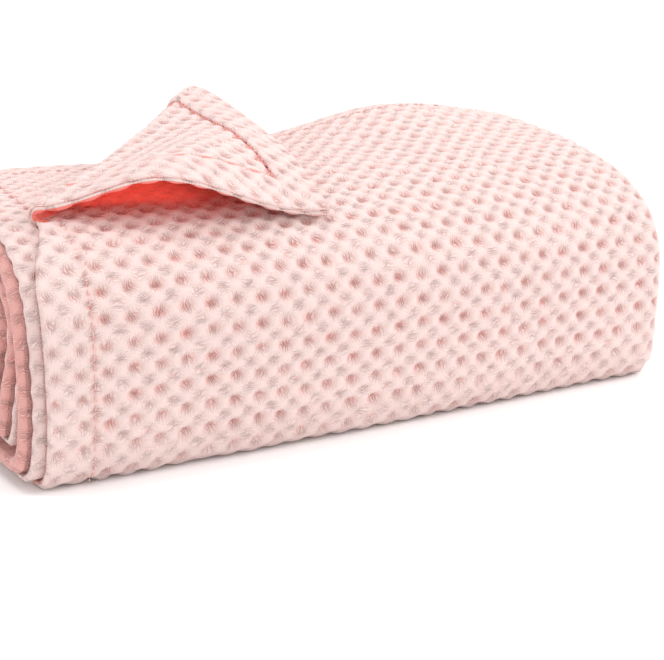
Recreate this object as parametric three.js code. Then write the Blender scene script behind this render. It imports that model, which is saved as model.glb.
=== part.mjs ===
// A cotton waffle-weave throw, folded in quarters along its length, rolled up into a flat roll and laid on its side.
// One corner of the outermost cloth is turned back over the roll. Millimetres, +Z up, resting on z = 0.
//
// The cloth is one woven panel with four hems. It is modelled as its stretches between folds: four quarters that
// spiral inwards together, the bends that join them at the two ends of the roll, the hems, the rows of hem
// stitching, and the corner that is turned back. Every stretch is a closed solid with a small gap to the next.
import * as THREE from 'three';

// Driving dimensions
const ROLL_LENGTH = 317.5; // a quarter of the 1270 mm wide cloth
const SHEET = 2.8; // thickness of one layer of cloth
const GAP = 0.4; // between layers, and between stretches that meet
const TURNS = 3.5; // how often the folded strip goes round
const PITCH = 4 * (SHEET + GAP); // the folded strip's thickness, and the roll's growth in one turn
const CORE_HALF_WIDTH = 61.2; // half the width that is left inside the innermost turn
const CORE_HALF_HEIGHT = 14.5; // half the height that is left inside the innermost turn
const HALF_WIDTH = CORE_HALF_WIDTH + TURNS * PITCH; // half the roll's width where the outermost turn starts
const HALF_HEIGHT = CORE_HALF_HEIGHT + TURNS * PITCH; // half the roll's height where the outermost turn starts
const FLOOR_PRESS = 8.3; // how far the floor flattens the roll's underside
const FRONT_TUCK = 16.3; // how far the lower front edge lies in from the roll's widest line
const MID_HEIGHT = HALF_HEIGHT - FLOOR_PRESS; // height of the roll's middle line over the floor
const MID_DEPTH = HALF_WIDTH - FRONT_TUCK; // from the lower front edge back to the roll's middle line
const HEM_WIDTH = 20; // the turned and stitched edge of the cloth
const THREAD = 0.8; // width and depth of a row of stitching
const ROW_GAP = 0.8; // from a row of stitching to the cloth on each side of it
const EDGE_BEND = 9; // how far a bend between two quarters reaches into the roll
const OUTER_SETBACK = 9; // outermost quarter's free edge, in from the left bend
const SECOND_SETBACK = 4; // second quarter's free edge, in from the left bend
const SKEW = 8; // how far the left end leans out at the floor
const CORNER_SIDE = 136; // turned-back corner, along the cloth's side edge
const CORNER_END = 139; // turned-back corner, along the cloth's end edge
const LOOP_START = 6; // height of the soft fold over the roll at the side edge
const LOOP_END = 29; // height of the soft fold over the roll at the end edge
const CORNER_ARCH = 11; // how far the corner's side edge stands up in the middle
const CORNER_CLEAR = 14; // flat cloth left to the soft fold before the corner starts

// Shape of the roll's cross-section, and its plump and hollow places
const BOTTOM_SQUARENESS = 10;
const TOP_SQUARENESS_LEFT = 3.1;
const TOP_SQUARENESS_RIGHT = 2.5;
const PLUMP = { height: 17, x: 250, depth: 145, spreadX: 42, spreadDepth: 34 };
const HOLLOW = { height: -3, x: 110, depth: 110, spreadX: 50, spreadDepth: 40 };
const FRONT_SWELL = 4;
const STEPS_PER_QUADRANT = 4;
const CORNER_CROWDING = 1.58; // above 1 crowds the steps towards the cross-section's corners
const FIRST_STEP = 5; // the free end lies this many steps up from the front
const STATIONS = [0, 80, 160, 250, ROLL_LENGTH]; // where along the roll its cross-section is worked out
const LOOP_RISE = 1.2; // how the soft fold's height grows along it
const LOOP_REST = 2.4; // the soft fold over the layer under it
const LOOP_PARTS = 6; // round the soft fold
const LOOP_RINGS = 8; // along the soft fold
const LOOP_LAST = 0.97; // the soft fold stops just short of the end edge
const FOLD_GAP = 3.5; // between the soft fold and the outermost quarter
const CORNER_REST = 1.5; // the corner's tip over the outermost quarter
const CORNER_SETTLE = 1.5; // above 1, the corner settles onto the roll sooner
const TIP_SHARE = 0.08; // the corner's cloth starts this far from its two hems' meeting point
const TIP_ROUND = 1; // the hem's own corner is a little short of a point

const STEPS_PER_TURN = 4 * STEPS_PER_QUADRANT;
const STEPS = Math.round(TURNS * STEPS_PER_TURN);
const CLOTH_COLOUR = 0xf6d9d4;
const HEM_COLOUR = 0xf3cfc9;
const THREAD_COLOUR = 0xf8e3de;

const object = new THREE.Group();
const mix = (a, b, t) => a + (b - a) * t;
const smoothStep = (t) => THREE.MathUtils.smoothstep(t, 0, 1);

// Angle in degrees round the cross-section: 0 at the front, 90 on top, falling as the strip winds inwards.
function angleAt(step) {
  const count = FIRST_STEP - step;
  const quadrant = Math.floor(count / STEPS_PER_QUADRANT);
  const share = 2 * (count / STEPS_PER_QUADRANT - quadrant) - 1;
  return 90 * quadrant + 45 * (1 + Math.sign(share) * Math.abs(share) ** CORNER_CROWDING);
}

function mound(place, x, depth) {
  const u = (x - place.x) / place.spreadX;
  const v = (depth - place.depth) / place.spreadDepth;
  return place.height * Math.exp(-(u * u + v * v) / 2);
}

// A point of the roll's true shape: x along it, the step round it, and how far in from the outermost cloth's face.
// The cross-section is a superellipse that shrinks as the strip winds in, and is pressed flat on the floor.
function truePoint(x, step, inwards) {
  const angle = angleAt(step);
  const wound = angleAt(0) - angle;
  const depthIn = (PITCH * wound) / 360 + inwards;
  const cos = Math.cos(THREE.MathUtils.degToRad(angle));
  const sin = Math.sin(THREE.MathUtils.degToRad(angle));
  const along = x / ROLL_LENGTH;
  const topSquareness = mix(TOP_SQUARENESS_LEFT, TOP_SQUARENESS_RIGHT, smoothStep(2 * along));
  const squareness = sin > 0 ? topSquareness : BOTTOM_SQUARENESS;
  const reach = (Math.abs(cos) ** squareness + Math.abs(sin) ** squareness) ** (-1 / squareness);
  const upper = Math.max(sin, 0) ** 2;
  const turn = Math.floor(wound / 360 + 1e-9);
  let depth = MID_DEPTH - (HALF_WIDTH - depthIn) * reach * cos;
  let height = MID_HEIGHT + (HALF_HEIGHT - depthIn) * reach * sin;
  height += upper * (mound(PLUMP, x, depth) + mound(HOLLOW, x, depth));
  if (sin < 0) height = Math.max(height, PITCH * turn + inwards);
  depth -= (FRONT_SWELL * smoothStep(2 * along) * (1 + cos)) / 2;
  const lean = (SKEW * (1 - along) * (1 - sin)) / 2;
  return new THREE.Vector3(x - lean, depth, height);
}

// A point of the modelled roll, which is straight between whole steps and between stations, so that every piece
// has the same facets as its neighbours.
function rollPoint(x, step, inwards) {
  const next = Math.max(STATIONS.findIndex((station) => station >= x), 1);
  const along = (x - STATIONS[next - 1]) / (STATIONS[next] - STATIONS[next - 1]);
  const before = Math.floor(step);
  const at = (wholeStep) => truePoint(STATIONS[next - 1], wholeStep, inwards)
    .lerp(truePoint(STATIONS[next], wholeStep, inwards), along);
  return step === before ? at(before) : at(before).lerp(at(before + 1), step - before);
}

// Length of the strip from its free end to each small part of a step, and the step at which a length is reached
const SUBSTEPS = 12;
const MEASURE_X = 70;
const lengths = [0];
for (let i = 1; i <= STEPS * SUBSTEPS; i += 1) {
  const before = rollPoint(MEASURE_X, (i - 1) / SUBSTEPS, 0);
  const here = rollPoint(MEASURE_X, i / SUBSTEPS, 0);
  lengths.push(lengths[i - 1] + before.distanceTo(here));
}
const stripLength = lengths[lengths.length - 1];
const lengthAtStep = (step) => lengths[Math.min(Math.round(step * SUBSTEPS), lengths.length - 1)];

function stepAtLength(length) {
  const i = Math.max(lengths.findIndex((value) => value >= length), 1);
  return (i - 1 + (length - lengths[i - 1]) / (lengths[i] - lengths[i - 1])) / SUBSTEPS;
}

function signedVolume(points, triangles) {
  let sum = 0;
  for (let i = 0; i < triangles.length; i += 3) {
    const [a, b, c] = [0, 1, 2].map((k) => points[triangles[i + k]]);
    sum += a.dot(b.clone().cross(c)) / 6;
  }
  return sum;
}

// Adds a closed solid to a group, with its faces turned outwards.
function addPiece(name, points, triangles, colour, parent) {
  if (signedVolume(points, triangles) < 0) triangles.reverse();
  const geometry = new THREE.BufferGeometry();
  const flat = points.flatMap((p) => [p.x, p.y, p.z]);
  geometry.setAttribute('position', new THREE.Float32BufferAttribute(flat, 3));
  geometry.setIndex(triangles);
  geometry.computeVertexNormals();
  const material = new THREE.MeshStandardMaterial({ color: colour, roughness: 0.95, metalness: 0 });
  const mesh = new THREE.Mesh(geometry, material);
  mesh.name = name;
  parent.add(mesh);
}

const roll = new THREE.Group();
const corner = new THREE.Group();
object.add(roll, corner);

// The steps at which a stretch has a ring of points: its two ends and, between them, every whole step and the
// places in each turn that lie over or under the outer end's hem and its stitching.
function stepsBetween(first, last) {
  const steps = [];
  for (let whole = 0; whole <= STEPS; whole += 1) {
    const underHem = whole % STEPS_PER_TURN === 0;
    steps.push(whole, ...(underHem ? [whole + outerEnd(HEM_WIDTH), whole + outerEnd(clothStart)] : []));
  }
  return [first, ...steps.filter((step) => step > first && step < last), last];
}

// Carries a closed outline round the roll. outlineAt(step) gives the outline as [x, inwards] points, one face first
// and then the other face backwards, with as many points on each.
function windPiece(name, outlineAt, steps, colour) {
  const points = steps.flatMap((step) => outlineAt(step).map(([x, inwards]) => rollPoint(x, step, inwards)));
  const first = outlineAt(steps[0]);
  const count = first.length;
  const triangles = [];
  for (let ring = 0; ring + 1 < steps.length; ring += 1) {
    for (let i = 0; i < count; i += 1) {
      const next = (i + 1) % count;
      const a = ring * count + i;
      const b = ring * count + next;
      const leftwards = first[next][0] < first[i][0]; // both faces of a layer are cut along the same diagonals
      if (leftwards) triangles.push(a, b, b + count, a, b + count, a + count);
      else triangles.push(a, b, a + count, b, b + count, a + count);
    }
  }
  const lastRing = (steps.length - 1) * count;
  for (let i = 0; i + 1 < count / 2; i += 1) {
    const [a, b, c, d] = [i, i + 1, count - 2 - i, count - 1 - i];
    triangles.push(a, c, b, a, d, c);
    triangles.push(lastRing + a, lastRing + b, lastRing + c, lastRing + a, lastRing + c, lastRing + d);
  }
  addPiece(name, points, triangles, colour, roll);
}

// Outline of one layer from x = left to x = right, its outer face "inwards" in from the outermost cloth, with a
// point at each station. Stations left of the layer's edge crowd together just inside it.
function layerOutline(left, right, inwards, thickness = SHEET, stations = STATIONS.slice(1, -1)) {
  const places = [left, ...stations.map((station, i) => Math.max(station, left + i + 1)), right];
  const outer = places.map((x) => [x, inwards]);
  const inner = places.map((x) => [x, inwards + thickness]);
  return [...outer, ...inner.reverse()];
}

// Outline of a bend that joins the layers whose outer faces are at "first" and "second".
// side is -1 at the left end of the roll and 1 at the right end.
function bendOutline({ first, second, tip, root, side, parts }) {
  const middle = (first + second + SHEET) / 2;
  const outerRadius = (second + SHEET - first) / 2;
  const innerRadius = outerRadius - SHEET;
  const centre = tip - side * outerRadius;
  const arc = (radius, parts) => {
    const found = [];
    for (let i = 0; i <= parts; i += 1) {
      const turn = Math.PI * (i / parts - 0.5);
      found.push([centre + side * radius * Math.cos(turn), middle + radius * Math.sin(turn)]);
    }
    return found;
  };
  const outerFace = [[root, first], ...arc(outerRadius, parts), [root, second + SHEET]];
  const innerFace = [[root, first + SHEET], ...arc(innerRadius, parts), [root, second]];
  return [...outerFace, ...innerFace.reverse()];
}

// The folded strip: four quarters, numbered from the outside in, with a bend at the left end of the roll and two
// at the right end, and the side hems of the outermost two quarters
const layerAt = (index) => index * (SHEET + GAP);
const bodyRight = ROLL_LENGTH - EDGE_BEND;
const stitchStart = HEM_WIDTH + ROW_GAP;
const clothStart = stitchStart + THREAD + ROW_GAP;
const outerEnd = (length) => stepAtLength(length);
const innerEnd = (length) => stepAtLength(stripLength - length);

// Left edge of the outermost quarter where the turned-back corner leaves it: the soft fold's diagonal
function foldLineX(step) {
  return OUTER_SETBACK + CORNER_END * (1 - lengthAtStep(step) / CORNER_SIDE) + FOLD_GAP;
}

const quarters = [
  { name: 'outer', left: (step) => Math.max(foldLineX(step), OUTER_SETBACK + clothStart) },
  { name: 'second', left: () => SECOND_SETBACK + clothStart },
  { name: 'third', left: () => EDGE_BEND },
  { name: 'innermost', left: () => EDGE_BEND },
];
quarters.forEach(({ name, left }, index) => {
  const inwards = layerAt(index);
  const layer = (step) => layerOutline(left(step), bodyRight, inwards);
  const row = (step) => layerOutline(left(step), bodyRight, inwards, THREAD);
  windPiece(`${name}_quarter`, layer, stepsBetween(outerEnd(clothStart), innerEnd(clothStart)), CLOTH_COLOUR);
  windPiece(`${name}_quarter_outer_end_hem`, layer, [0, outerEnd(HEM_WIDTH)], HEM_COLOUR);
  windPiece(`${name}_quarter_outer_end_stitching`, row, [stitchStart, stitchStart + THREAD].map(outerEnd), THREAD_COLOUR);
  windPiece(`${name}_quarter_inner_end_hem`, layer, stepsBetween(innerEnd(HEM_WIDTH), STEPS), HEM_COLOUR);
  windPiece(`${name}_quarter_inner_end_stitching`, row, [stitchStart + THREAD, stitchStart].map(innerEnd), THREAD_COLOUR);
});

const sideHems = [
  { name: 'outer', left: OUTER_SETBACK, first: Math.ceil(stepAtLength(CORNER_SIDE)) },
  { name: 'second', left: SECOND_SETBACK, first: 0 },
];
sideHems.forEach(({ name, left, first }, index) => {
  const inwards = layerAt(index);
  const hem = () => layerOutline(left, left + HEM_WIDTH, inwards, SHEET, []);
  const row = () => layerOutline(left + stitchStart, left + stitchStart + THREAD, inwards, THREAD, []);
  windPiece(`${name}_side_hem`, hem, stepsBetween(first, STEPS), HEM_COLOUR);
  windPiece(`${name}_side_stitching`, row, stepsBetween(first, STEPS), THREAD_COLOUR);
});

const right = { tip: ROLL_LENGTH, root: bodyRight + GAP, side: 1 };
const innerTip = ROLL_LENGTH - SHEET - GAP;
const bends = {
  left_bend: { first: layerAt(2), second: layerAt(3), tip: 0, root: EDGE_BEND - GAP, side: -1, parts: 2 },
  right_outer_bend: { ...right, first: layerAt(0), second: layerAt(3), parts: 4 },
  right_inner_bend: { ...right, first: layerAt(1), second: layerAt(2), tip: innerTip, parts: 2 },
};
for (const [name, bend] of Object.entries(bends)) {
  windPiece(name, () => bendOutline(bend), stepsBetween(0, STEPS), CLOTH_COLOUR);
}

// The turned-back corner, laid out flat from its tip: "side" runs along the cloth's side edge and "end" along its
// end edge. The tip is the cloth's corner mirrored in the soft fold.
const foldNormal = new THREE.Vector2(1 / CORNER_END, 1 / CORNER_SIDE);
const tipToFold = 1 / foldNormal.length();
const tip = foldNormal.clone().setLength(2 * tipToFold);
const alongSide = new THREE.Vector2(0, CORNER_SIDE).sub(tip).divideScalar(CORNER_SIDE);
const alongEnd = new THREE.Vector2(CORNER_END, 0).sub(tip).divideScalar(CORNER_END);
const loopHeight = (share) => mix(LOOP_START, LOOP_END, share ** LOOP_RISE);

// A point of the corner, "above" its underside. The corner rests on the roll at its tip, and rises to the soft
// fold; its side edge stands up in an arch.
function cornerPoint(side, end, above) {
  const nearFold = side / CORNER_SIDE + end / CORNER_END;
  const share = end / CORNER_END / nearFold;
  const fold = loopHeight(share) - SHEET;
  const arch = CORNER_ARCH * Math.sin(Math.PI * nearFold) * (1 - share);
  const lift = mix(CORNER_REST, fold, nearFold ** CORNER_SETTLE) + arch + above;
  const x = OUTER_SETBACK + tip.x + side * alongSide.x + end * alongEnd.x;
  const length = tip.y + side * alongSide.y + end * alongEnd.y;
  return rollPoint(x, stepAtLength(length), -lift);
}

// A patch of the corner between two faces, as a grid of points. place(u, v) gives [side, end].
function cornerPatch(name, place, columns, rows, below, thickness, colour) {
  const points = [];
  const triangles = [];
  for (const above of [below, below + thickness]) {
    for (let j = 0; j <= rows; j += 1) {
      for (let i = 0; i <= columns; i += 1) points.push(cornerPoint(...place(i / columns, j / rows), above));
    }
  }
  const width = columns + 1;
  const face = width * (rows + 1);
  const at = (i, j) => j * width + i;
  for (let j = 0; j < rows; j += 1) {
    for (let i = 0; i < columns; i += 1) {
      const [a, b, c, d] = [at(i, j), at(i + 1, j), at(i + 1, j + 1), at(i, j + 1)];
      triangles.push(a, b, c, a, c, d, face + a, face + c, face + b, face + a, face + d, face + c);
    }
  }
  const rim = [];
  for (let i = 0; i < columns; i += 1) rim.push(at(i, 0));
  for (let j = 0; j < rows; j += 1) rim.push(at(columns, j));
  for (let i = columns; i > 0; i -= 1) rim.push(at(i, rows));
  for (let j = rows; j > 0; j -= 1) rim.push(at(0, j));
  rim.forEach((a, i) => {
    const b = rim[(i + 1) % rim.length];
    triangles.push(a, face + a, b, b, face + a, face + b);
  });
  addPiece(name, points, triangles, colour, corner);
}

const reach = 1 - CORNER_CLEAR / tipToFold; // 0 at the tip, 1 at the soft fold
const sideReach = (end) => CORNER_SIDE * (reach - end / CORNER_END);
const endReach = (side) => CORNER_END * (reach - side / CORNER_SIDE);

function clothPlace(u, v) {
  const outward = mix(TIP_SHARE, 1, v);
  const foldSide = mix(sideReach(clothStart), clothStart, u);
  const foldEnd = mix(clothStart, endReach(clothStart), u);
  return [mix(clothStart, foldSide, outward), mix(clothStart, foldEnd, outward)];
}
const sideStrip = (start, width, from) => (u, v) => {
  const end = start + width * u;
  return [mix(from, sideReach(end), v), end];
};
const endStrip = (start, width, from) => (u, v) => {
  const side = start + width * u;
  return [side, mix(from, endReach(side), v)];
};
const top = SHEET - THREAD;
cornerPatch('corner_cloth', clothPlace, 8, 8, 0, SHEET, CLOTH_COLOUR);
cornerPatch('corner_side_hem', sideStrip(0, HEM_WIDTH, TIP_ROUND), 2, 10, 0, SHEET, HEM_COLOUR);
cornerPatch('corner_end_hem', endStrip(0, HEM_WIDTH, HEM_WIDTH + GAP), 2, 8, 0, SHEET, HEM_COLOUR);
cornerPatch('corner_side_stitching', sideStrip(stitchStart, THREAD, clothStart), 1, 8, top, THREAD, THREAD_COLOUR);
cornerPatch('corner_end_stitching', endStrip(stitchStart, THREAD, clothStart), 1, 8, top, THREAD, THREAD_COLOUR);

// The soft fold between the outermost quarter and the corner: a loop of cloth whose height grows towards the
// end edge. "share" runs from 0 at the side edge to 1 at the end edge.
function foldFrame(share) {
  const place = (at, lift) => {
    const x = OUTER_SETBACK + CORNER_END * at;
    return rollPoint(x, stepAtLength(CORNER_SIDE * (1 - at)), -lift);
  };
  const radius = (loopHeight(share) + SHEET) / 2;
  const centre = place(share, loopHeight(share) - radius + LOOP_REST);
  const up = place(share, 1).sub(place(share, 0)).normalize();
  const along = place(Math.min(share + 0.1, 1), 0).sub(place(Math.max(share - 0.1, 0), 0)).normalize();
  return { centre, up, away: along.clone().cross(up).normalize().negate(), radius };
}

function foldRing(share) {
  const { centre, up, away, radius } = foldFrame(share);
  const arc = (size) => Array.from({ length: LOOP_PARTS + 1 }, (_, i) => {
    const turn = Math.PI * (i / LOOP_PARTS - 0.5);
    return centre.clone().addScaledVector(away, size * Math.cos(turn)).addScaledVector(up, size * Math.sin(turn));
  });
  return [...arc(radius), ...arc(radius - SHEET).reverse()];
}

function addSoftFold() {
  const rings = Array.from({ length: LOOP_RINGS + 1 }, (_, i) => foldRing(mix(0, LOOP_LAST, i / LOOP_RINGS)));
  const count = rings[0].length;
  const triangles = [];
  for (let ring = 0; ring < LOOP_RINGS; ring += 1) {
    for (let i = 0; i < count; i += 1) {
      const a = ring * count + i;
      const b = ring * count + ((i + 1) % count);
      triangles.push(a, b, a + count, b, b + count, a + count);
    }
  }
  const lastRing = LOOP_RINGS * count;
  for (let i = 0; i < LOOP_PARTS; i += 1) {
    const [a, b, c, d] = [i, i + 1, count - 2 - i, count - 1 - i];
    triangles.push(a, c, b, a, d, c);
    triangles.push(lastRing + a, lastRing + b, lastRing + c, lastRing + a, lastRing + c, lastRing + d);
  }
  addPiece('corner_soft_fold', rings.flat(), triangles, CLOTH_COLOUR, roll);
}
addSoftFold();

// Stand the roll on the floor with its box centred on the origin
const size = new THREE.Box3().setFromObject(object);
const middle = size.getCenter(new THREE.Vector3());
object.position.set(-middle.x, -middle.y, -size.min.z);

// The corner turns about the middle of its soft fold; a positive turn lifts it off the roll
const hingeStart = foldFrame(0).centre.add(object.position);
const hingeEnd = foldFrame(1).centre.add(object.position);
const hingeAxis = hingeStart.clone().sub(hingeEnd).normalize();
corner.userData.hinge = { point: hingeStart.toArray(), axis: hingeAxis.toArray() };

export default object;
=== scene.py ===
"""A cotton waffle-weave throw, folded in quarters, rolled up into a flat roll and laid down, with the
corner of the outermost cloth turned back. Metres, +Z up. Every stretch of cloth is a grid of points on
one wound strip, and the weave's pockets and floats are raised out of that grid."""

import bpy
import numpy as np
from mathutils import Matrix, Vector


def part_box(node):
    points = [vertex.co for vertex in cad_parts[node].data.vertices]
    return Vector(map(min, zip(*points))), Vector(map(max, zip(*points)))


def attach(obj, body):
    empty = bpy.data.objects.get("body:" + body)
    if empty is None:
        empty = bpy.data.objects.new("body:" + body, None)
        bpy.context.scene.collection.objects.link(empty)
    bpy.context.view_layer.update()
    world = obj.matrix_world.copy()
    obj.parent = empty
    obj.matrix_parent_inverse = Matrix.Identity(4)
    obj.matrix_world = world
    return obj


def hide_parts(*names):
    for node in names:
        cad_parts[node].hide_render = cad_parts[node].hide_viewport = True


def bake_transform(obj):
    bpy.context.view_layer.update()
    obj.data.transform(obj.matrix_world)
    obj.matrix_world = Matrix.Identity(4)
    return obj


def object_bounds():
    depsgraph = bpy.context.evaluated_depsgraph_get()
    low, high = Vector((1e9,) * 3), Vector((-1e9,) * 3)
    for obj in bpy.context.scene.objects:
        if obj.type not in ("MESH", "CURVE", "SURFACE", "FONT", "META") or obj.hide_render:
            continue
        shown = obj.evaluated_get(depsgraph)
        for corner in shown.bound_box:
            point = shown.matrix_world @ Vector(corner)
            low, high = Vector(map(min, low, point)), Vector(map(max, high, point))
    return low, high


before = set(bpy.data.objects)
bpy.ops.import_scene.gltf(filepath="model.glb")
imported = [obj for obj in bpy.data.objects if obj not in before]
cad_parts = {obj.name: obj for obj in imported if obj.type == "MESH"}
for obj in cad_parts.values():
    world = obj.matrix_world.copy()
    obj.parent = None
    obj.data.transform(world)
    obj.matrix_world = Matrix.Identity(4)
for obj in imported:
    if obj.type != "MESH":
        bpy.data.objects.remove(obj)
cad_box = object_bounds()
MM = 0.001

# --------------------------------------------------------------------------------------------------
# Camera, floor and light
# A plain pale floor under a bright, even studio sky, with a broad soft light from the upper right and front.
# --------------------------------------------------------------------------------------------------
VIEW_TURN = np.radians(29.0)
VIEW_DROP = np.radians(17.5)
FOCAL_LENGTH = 81.3
CAMERA_OUT, CAMERA_RIGHT, CAMERA_UP = 612.7 * MM, 123.3 * MM, 65.4 * MM

floor_z = cad_box[0].z
ROLL_LENGTH = 317.5 * MM
FRONT_REACH = 16.03 * MM
ORIGIN = np.array([
    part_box("right_outer_bend")[1].x - ROLL_LENGTH,
    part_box("outer_quarter")[0].y + FRONT_REACH,
    floor_z,
])

view_line = Vector((
    np.sin(VIEW_TURN) * np.cos(VIEW_DROP),
    np.cos(VIEW_TURN) * np.cos(VIEW_DROP),
    -np.sin(VIEW_DROP),
))
view_right = Vector((np.cos(VIEW_TURN), -np.sin(VIEW_TURN), 0.0))
view_up = view_right.cross(view_line)
camera_data = bpy.data.cameras.new("camera")
camera_data.sensor_width = 36.0
camera_data.lens = FOCAL_LENGTH
camera = bpy.data.objects.new("camera", camera_data)
bpy.context.scene.collection.objects.link(camera)
camera.location = Vector(ORIGIN) - CAMERA_OUT * view_line + CAMERA_RIGHT * view_right + CAMERA_UP * view_up
camera.rotation_mode = "QUATERNION"
camera.rotation_quaternion = view_line.to_track_quat("-Z", "Y")
bpy.context.scene.camera = camera
bpy.context.scene.view_settings.view_transform = "Standard"

bpy.ops.mesh.primitive_plane_add(size=30.0, location=(0, 0, floor_z - 0.2 * MM))
floor = bpy.context.object
floor.name = "floor"
floor_material = bpy.data.materials.new("floor")
floor_material.use_nodes = True
floor_shader = floor_material.node_tree.nodes["Principled BSDF"]
floor_shader.inputs["Base Color"].default_value = (1.0, 1.0, 1.0, 1)
floor_shader.inputs["Roughness"].default_value = 0.9
floor.data.materials.append(floor_material)

world = bpy.data.worlds.new("studio")
bpy.context.scene.world = world
world.use_nodes = True
world.node_tree.nodes["Background"].inputs["Color"].default_value = (1.0, 0.99, 0.985, 1)
world.node_tree.nodes["Background"].inputs["Strength"].default_value = 1.0


def softbox(name, place, aim, size, power):
    """A square area light at a place, turned towards the point that it is aimed at."""
    data = bpy.data.lights.new(name, "AREA")
    data.size = size
    data.energy = power
    lamp = bpy.data.objects.new(name, data)
    bpy.context.scene.collection.objects.link(lamp)
    lamp.location = place
    lamp.rotation_euler = (Vector(aim) - Vector(place)).to_track_quat("-Z", "Y").to_euler()


softbox("key", (-0.35, 0.10, 1.10), (0.0, 0.0, 0.05), 0.30, 3.0)
softbox("side", (1.10, -0.50, 0.75), (0.1, 0.0, 0.05), 0.60, 7.5)

# --------------------------------------------------------------------------------------------------
# The third and innermost quarters
# Two layers of the folded throw and the bend that joins them at the left end. They only show at the
# roll's two ends, as turns of cloth between the outer layers, so they are wound plainly.
# --------------------------------------------------------------------------------------------------
HALF_WIDTH, HALF_HEIGHT = 106 * MM, 59.3 * MM
MID_HEIGHT, MID_DEPTH = 51 * MM, 89.7 * MM
LAYER = 3.2 * MM
SHEET = 2.8 * MM
PITCH = 4 * LAYER
TURNS = 3.5
FREE_END_ANGLE = 120.0
SKEW = 8 * MM
FRONT_SWELL = 4 * MM
BOTTOM_SQUARENESS = 10.0
TOP_SQUARENESS = (3.1, 2.5)
# Each mound on top: its height, its place along the roll and in depth, and how far it spreads in both
MOUNDS = (
    (17 * MM, (250 * MM, 145 * MM), (42 * MM, 34 * MM)),
    (-3 * MM, (110 * MM, 110 * MM), (50 * MM, 40 * MM)),
)
# Each wave of the left edge: its size, its length along the strip and where it starts
EDGE_WAVES = ((1.2 * MM, 210 * MM, 1.0), (0.8 * MM, 97 * MM, 0.0))
WAVES_REACH = 80 * MM


def smooth(t):
    """Eases from 0 to 1 with no corners: 3 t^2 - 2 t^3."""
    t = np.clip(t, 0.0, 1.0)
    return t * t * (3 - 2 * t)


def mix(a, b, t):
    """The value a share t of the way from a to b."""
    return a + (b - a) * t


def mound(x, depth, height, at, spread):
    """A bell-shaped rise over a place on top of the roll."""
    return height * np.exp(-(((x - at[0]) / spread[0]) ** 2 + ((depth - at[1]) / spread[1]) ** 2) / 2)


def wind(x, turned, lift):
    """The point at x along the roll and "turned" degrees in from the free end. The section is a
    superellipse that shrinks by one strip's thickness in each turn and is pressed flat on the floor; lift
    moves outwards."""
    angle = np.radians(FREE_END_ANGLE - turned)
    cos, sin = np.cos(angle), np.sin(angle)
    inwards = PITCH * turned / 360.0 - lift
    along = x / ROLL_LENGTH
    squareness = np.where(sin > 0, mix(*TOP_SQUARENESS, smooth(2 * along)), BOTTOM_SQUARENESS)
    reach = (np.abs(cos) ** squareness + np.abs(sin) ** squareness) ** (-1 / squareness)
    upper = np.clip(sin, 0, 1) ** 2
    depth = MID_DEPTH - (HALF_WIDTH - inwards) * reach * cos
    height = MID_HEIGHT + (HALF_HEIGHT - inwards) * reach * sin
    rise = sum(mound(x, depth, *shape) for shape in MOUNDS)
    height = height + upper * rise
    pressed = PITCH * np.floor(turned / 360.0 + 1e-9) - lift
    height = np.where(sin < 0, np.maximum(height, pressed), height)
    depth = depth - FRONT_SWELL * smooth(2 * along) * (1 + cos) / 2
    lean = SKEW * (1 - along) * (1 - sin) / 2
    return np.stack(np.broadcast_arrays(x - lean, depth, height), -1) + ORIGIN


WINDING = np.linspace(0.0, TURNS * 360.0, 5001)
winding_line = wind(np.full_like(WINDING, 70 * MM), WINDING, 0.0)
WOUND_LENGTH = np.concatenate([[0.0], np.cumsum(np.linalg.norm(np.diff(winding_line, axis=0), axis=1))])
STRIP_LENGTH = WOUND_LENGTH[-1]
FIRST_TURN = float(np.interp(360.0, WINDING, WOUND_LENGTH))
FLOOR_STRETCH = [float(np.interp(turned, WINDING, WOUND_LENGTH)) for turned in (152.0, 268.0)]


def cloth_at(x, length, lift):
    """The point of the strip at a length from its free end. Two slow waves shift its left edge."""
    waves = sum(size * np.sin(2 * np.pi * length / pitch + start) for size, pitch, start in EDGE_WAVES)
    x = x + waves * (1 - smooth(x / WAVES_REACH))
    return wind(x, np.interp(length, WOUND_LENGTH, WINDING), lift)


def line(x_from, x_to, lift, count, facing):
    """Part of an outline: a straight run across the roll at one lift, facing out (1) or in (-1). Each
    outline point holds x, lift and the two parts of its outward direction."""
    share = np.linspace(0, 1, count)
    start = np.asarray(x_from, float)[..., None]
    x = start + (np.asarray(x_to, float)[..., None] - start) * share
    return np.stack([x, np.full_like(x, lift), np.zeros_like(x), np.full_like(x, facing)], -1)


def bend(centre_x, centre_lift, radius, start, stop, count, facing=1):
    """Part of an outline: an arc between two angles in degrees, facing away from its centre (1) or to
    it (-1)."""
    angle = np.radians(np.linspace(start, stop, count))
    centre = np.asarray(centre_x, float)[..., None]
    x = centre + radius * np.cos(angle)
    lift = np.broadcast_to(centre_lift + radius * np.sin(angle), x.shape)
    out = [np.broadcast_to(facing * part, x.shape) for part in (np.cos(angle), np.sin(angle))]
    return np.stack([x, lift, *out], -1)


def outline_of(rows, *parts):
    """Joins runs and arcs into one closed outline for every row."""
    wide = [np.broadcast_to(part, (rows, *part.shape[-2:])) for part in parts]
    return np.concatenate(wide, axis=1)


def new_object(name, points, faces, material):
    """A smooth mesh object of the given points and faces, at the origin, with its material and slot."""
    mesh = bpy.data.meshes.new(name)
    mesh.from_pydata(points, [], faces)
    mesh.shade_smooth()
    mesh.materials.append(material)
    piece = bpy.data.objects.new(name, mesh)
    bpy.context.scene.collection.objects.link(piece)
    return piece


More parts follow.
